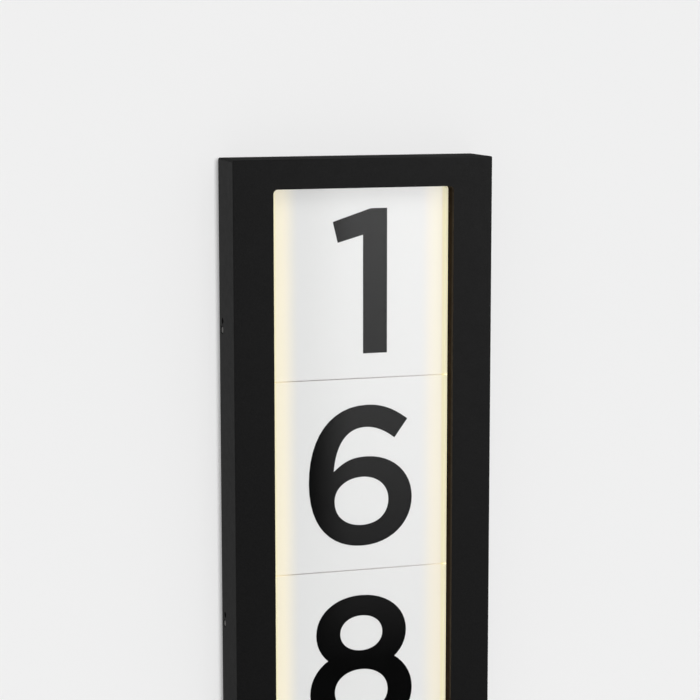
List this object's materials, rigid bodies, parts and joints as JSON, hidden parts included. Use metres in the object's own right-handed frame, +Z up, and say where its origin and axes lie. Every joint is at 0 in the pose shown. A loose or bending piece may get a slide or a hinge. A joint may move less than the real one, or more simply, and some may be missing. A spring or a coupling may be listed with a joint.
{
  "type": "illuminated house number sign",
  "caption": "Tall black box frame for a wall, with a recessed window over a lit stack of white number tiles; the front lifts off its wall pan.",
  "frame": {"origin": "middle of the wall face: the centre of the junction box slots, in the plane of the wall", "axes": "+X to the right seen from the front, +Y into the wall, +Z up"},
  "size_m": [0.184, 0.039, 0.44],
  "materials": {
    "black_powder_coat": "matte fine texture",
    "clear_cover": "gloss",
    "foam": "matte",
    "mill_aluminium": "satin",
    "zinc_fasteners": "satin",
    "side_screw_steel": "satin",
    "pan_coat": "matte",
    "grommet_rubber": "matte",
    "driver_case": "matte",
    "terminal_plastic": "matte",
    "brass": "satin",
    "earth_green": "satin",
    "board_white": "satin",
    "led_phosphor": "satin",
    "reflector_white": "matte",
    "nylon": "matte",
    "opal_tile": "gloss",
    "numeral_black": "satin",
    "wire_black": "satin",
    "wire_white": "satin",
    "wire_green": "satin"
  },
  "bodies": {
    "wall_unit": {"back_pan": "pan_coat", "wall_gasket": "foam", "inlet_grommet": "grommet_rubber", "led_driver": "driver_case", "driver_screws": "zinc_fasteners", "terminal_block": "terminal_plastic", "terminal_screws": "brass", "earth_screw": "earth_green", "led_rail_left": "mill_aluminium", "led_rail_right": "mill_aluminium", "led_board_left": "board_white", "led_board_right": "board_white", "led_chips_left": "led_phosphor", "led_chips_right": "led_phosphor", "rail_screws": "zinc_fasteners", "back_reflector": "reflector_white", "reflector_supports": "nylon", "tile_shelf": "mill_aluminium", "shelf_screws": "zinc_fasteners", "tile_top": "opal_tile", "tile_middle": "opal_tile", "tile_bottom": "opal_tile", "numeral_one": "numeral_black", "numeral_six": "numeral_black", "numeral_eight": "numeral_black", "line_wire": "wire_black", "neutral_wire": "wire_white", "earth_wire": "wire_green", "dc_lead_left": "wire_white", "dc_lead_right": "wire_white", "lead_saddles": "nylon"},
    "front_frame": {"front_frame": "black_powder_coat", "front_lens": "clear_cover", "lens_gasket": "foam", "lens_retainer_top": "mill_aluminium", "lens_retainer_bottom": "mill_aluminium", "retainer_screws": "zinc_fasteners"},
    "screw_left_upper": {"side_screw_left_upper": "side_screw_steel"},
    "nut_left_upper": {"clamp_nut_left_upper": "zinc_fasteners"},
    "screw_left_lower": {"side_screw_left_lower": "side_screw_steel"},
    "nut_left_lower": {"clamp_nut_left_lower": "zinc_fasteners"},
    "screw_right_upper": {"side_screw_right_upper": "side_screw_steel"},
    "nut_right_upper": {"clamp_nut_right_upper": "zinc_fasteners"},
    "screw_right_lower": {"side_screw_right_lower": "side_screw_steel"},
    "nut_right_lower": {"clamp_nut_right_lower": "zinc_fasteners"}
  },
  "joints": [
    {"name": "frame_lift_off", "type": "slide", "parent": "wall_unit", "child": "front_frame", "axis": [0, -1, 0], "range_m": [0, 0.06]},
    {"name": "screw_turn_left_upper", "type": "hinge", "parent": "front_frame", "child": "screw_left_upper", "pos_m": [-0.092, -0.0069, 0.103], "axis": [-1, 0, 0], "range_deg": [0, 1351]},
    {"name": "nut_travel_left_upper", "type": "slide", "parent": "front_frame", "child": "nut_left_upper", "axis": [1, 0, 0], "range_m": [0, 0.00187]},
    {"name": "screw_turn_left_lower", "type": "hinge", "parent": "front_frame", "child": "screw_left_lower", "pos_m": [-0.092, -0.0069, -0.103], "axis": [-1, 0, 0], "range_deg": [0, 1351]},
    {"name": "nut_travel_left_lower", "type": "slide", "parent": "front_frame", "child": "nut_left_lower", "axis": [1, 0, 0], "range_m": [0, 0.00187]},
    {"name": "screw_turn_right_upper", "type": "hinge", "parent": "front_frame", "child": "screw_right_upper", "pos_m": [0.092, -0.0069, 0.103], "axis": [1, 0, 0], "range_deg": [0, 1351]},
    {"name": "nut_travel_right_upper", "type": "slide", "parent": "front_frame", "child": "nut_right_upper", "axis": [-1, 0, 0], "range_m": [0, 0.00187]},
    {"name": "screw_turn_right_lower", "type": "hinge", "parent": "front_frame", "child": "screw_right_lower", "pos_m": [0.092, -0.0069, -0.103], "axis": [1, 0, 0], "range_deg": [0, 1351]},
    {"name": "nut_travel_right_lower", "type": "slide", "parent": "front_frame", "child": "nut_right_lower", "axis": [-1, 0, 0], "range_m": [0, 0.00187]}
  ],
  "couplings": [
    {"joint": "screw_turn_left_upper", "follows": "nut_travel_left_upper", "rad_per_m": 12566},
    {"joint": "screw_turn_left_lower", "follows": "nut_travel_left_lower", "rad_per_m": 12566},
    {"joint": "screw_turn_right_upper", "follows": "nut_travel_right_upper", "rad_per_m": 12566},
    {"joint": "screw_turn_right_lower", "follows": "nut_travel_right_lower", "rad_per_m": 12566}
  ]
}
